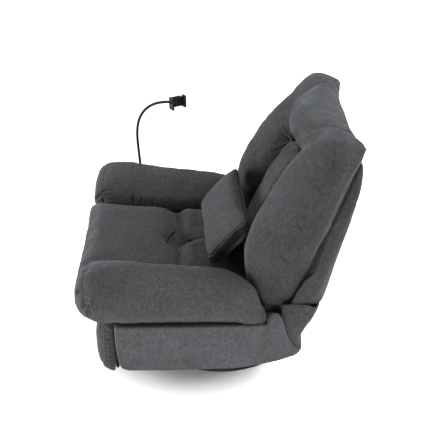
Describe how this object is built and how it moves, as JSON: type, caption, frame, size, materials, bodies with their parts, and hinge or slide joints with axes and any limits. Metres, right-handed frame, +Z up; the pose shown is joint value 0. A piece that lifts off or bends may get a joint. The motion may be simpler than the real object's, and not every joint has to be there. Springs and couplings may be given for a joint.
{
  "type": "power recliner",
  "caption": "Padded power recliner on a ring swivel and rocker base, with scissor footrest, reclining back, loose lumbar pillow and a gooseneck phone holder.",
  "frame": {"origin": "middle of the whole chair's footprint, on the floor", "axes": "+Z up, the sitter faces -Y, the sitter's left is +X"},
  "size_m": [1.0406, 1.065, 1.0323],
  "materials": {
    "plush": "short dark grey plush with a soft nap",
    "black_steel": "satin black powder coat",
    "bright_steel": "zinc plated, satin",
    "spring_steel": "oiled spring wire",
    "timber": "plain poplar and plywood, unfinished",
    "black_plastic": "fine moulded grain",
    "button_plastic": "smooth",
    "soft_black": "matt"
  },
  "bodies": {
    "base": {"base_ring": "black_steel", "base_cross": "black_steel", "base_glide_1": "black_plastic", "base_glide_2": "black_plastic", "base_glide_3": "black_plastic", "base_glide_4": "black_plastic", "swivel_race": "black_plastic"},
    "turntable": {"swivel_plate": "black_steel", "rocker_stand_left": "black_steel", "rocker_stand_right": "black_steel", "rock_spring_front": "spring_steel", "rock_spring_rear": "spring_steel"},
    "chassis": {"rocker_cam_left": "timber", "rocker_cam_right": "timber", "mechanism_plate_left": "black_steel", "mechanism_plate_right": "black_steel", "arm_frame_left": "timber", "arm_frame_right": "timber", "side_panel_left": "plush", "side_panel_right": "plush", "arm_left": "plush", "arm_right": "plush", "front_cross_tube": "black_steel", "rear_cross_tube": "black_steel", "seat_frame": "timber", "seat_spring_wire": "spring_steel", "rear_rail": "timber", "power_inlet": "black_plastic", "drive_track": "black_steel", "drive_motor": "black_plastic", "seat_cushion": "plush", "back_skirt": "plush", "control_panel": "black_plastic", "phone_socket": "black_plastic"},
    "back": {"back_board": "timber", "back_hinge_left": "black_steel", "back_hinge_right": "black_steel", "back_roll": "plush", "back_cushion": "plush", "back_shell": "plush"},
    "pillow": {"lumbar_pillow": "plush"},
    "swing": {"swing_link_left": "bright_steel", "swing_link_right": "bright_steel", "footrest_torque_tube": "bright_steel"},
    "reach": {"reach_link_left": "bright_steel", "reach_link_right": "bright_steel"},
    "guide": {"guide_link_left": "bright_steel", "guide_link_right": "bright_steel"},
    "tilt": {"tilt_link_left": "bright_steel", "tilt_link_right": "bright_steel"},
    "ottoman": {"ottoman_bracket_left": "bright_steel", "ottoman_bracket_right": "bright_steel", "ottoman_board": "timber", "footrest_pad": "plush"},
    "carriage": {"drive_carriage": "black_plastic"},
    "open_button": {"button_open": "button_plastic"},
    "close_button": {"button_close": "button_plastic"},
    "neck": {"phone_gooseneck": "soft_black"},
    "clamp": {"phone_clamp": "black_plastic"},
    "jaw": {"phone_clamp_jaw": "black_plastic"}
  },
  "joints": [
    {"name": "swivel", "type": "hinge", "parent": "base", "child": "turntable", "pos_m": [0.01525, 0.02273, 0.05], "axis": [0, 0, 1], "range_deg": [-135, 135]},
    {"name": "rock", "type": "hinge", "parent": "turntable", "child": "chassis", "pos_m": [0.01525, 0.02273, 0.1275], "axis": [-1, 0, 0], "range_deg": [-5, 8], "stiffness_Nm_per_rad": 3000, "deforming": ["rock_spring_front", "rock_spring_rear"]},
    {"name": "recline", "type": "hinge", "parent": "chassis", "child": "back", "pos_m": [0.01525, 0.26127, 0.35251], "axis": [-1, 0, 0], "range_deg": [0, 40], "deforming": ["back_skirt"]},
    {"name": "pillow_lift", "type": "slide", "parent": "back", "child": "pillow", "axis": [0, 0, 1], "range_m": [0, 0.65]},
    {"name": "footrest", "type": "hinge", "parent": "chassis", "child": "swing", "pos_m": [0.01525, -0.13847, 0.28], "axis": [-1, 0, 0], "range_deg": [0, 90]},
    {"name": "reach", "type": "hinge", "parent": "swing", "child": "reach", "pos_m": [0.01525, -0.0568, 0.13045], "axis": [-1, 0, 0], "range_deg": [-90, 0]},
    {"name": "ottoman", "type": "hinge", "parent": "reach", "child": "ottoman", "pos_m": [0.01525, -0.34524, 0.27176], "axis": [-1, 0, 0], "range_deg": [0, 90]},
    {"name": "guide", "type": "hinge", "parent": "chassis", "child": "guide", "pos_m": [0.01525, -0.07487, 0.2586], "axis": [-1, 0, 0], "range_deg": [0, 90]},
    {"name": "tilt", "type": "hinge", "parent": "swing", "child": "tilt", "pos_m": [0.01525, -0.0466, 0.10175], "axis": [-1, 0, 0], "range_deg": [-90, 0]},
    {"name": "carriage_travel", "type": "slide", "parent": "chassis", "child": "carriage", "axis": [0, -1, 0], "range_m": [0, 0.1]},
    {"name": "open_press", "type": "slide", "parent": "chassis", "child": "open_button", "axis": [1, 0, 0], "range_m": [0, 0.0015], "stiffness_N_per_m": 500},
    {"name": "close_press", "type": "slide", "parent": "chassis", "child": "close_button", "axis": [1, 0, 0], "range_m": [0, 0.0015], "stiffness_N_per_m": 500},
    {"name": "phone_swivel", "type": "hinge", "parent": "chassis", "child": "neck", "pos_m": [-0.50475, -0.32027, 0.295], "axis": [0, 0, 1], "range_deg": [-60, 60]},
    {"name": "clamp_turn", "type": "hinge", "parent": "neck", "child": "clamp", "pos_m": [-0.47578, -0.18427, 0.847], "axis": [0, 1, 0], "range_deg": [-90, 90]},
    {"name": "jaw_pull", "type": "slide", "parent": "clamp", "child": "jaw", "axis": [-0.5, 0.866, 0], "range_m": [0, 0.03], "stiffness_N_per_m": 300}
  ],
  "couplings": [
    {"joint": "reach", "follows": "footrest", "ratio": -1},
    {"joint": "ottoman", "follows": "footrest", "ratio": 1},
    {"joint": "guide", "follows": "footrest", "ratio": 1},
    {"joint": "tilt", "follows": "footrest", "ratio": -1},
    {"joint": "carriage_travel", "follows": "footrest", "m_per_rad": 0.06366}
  ]
}
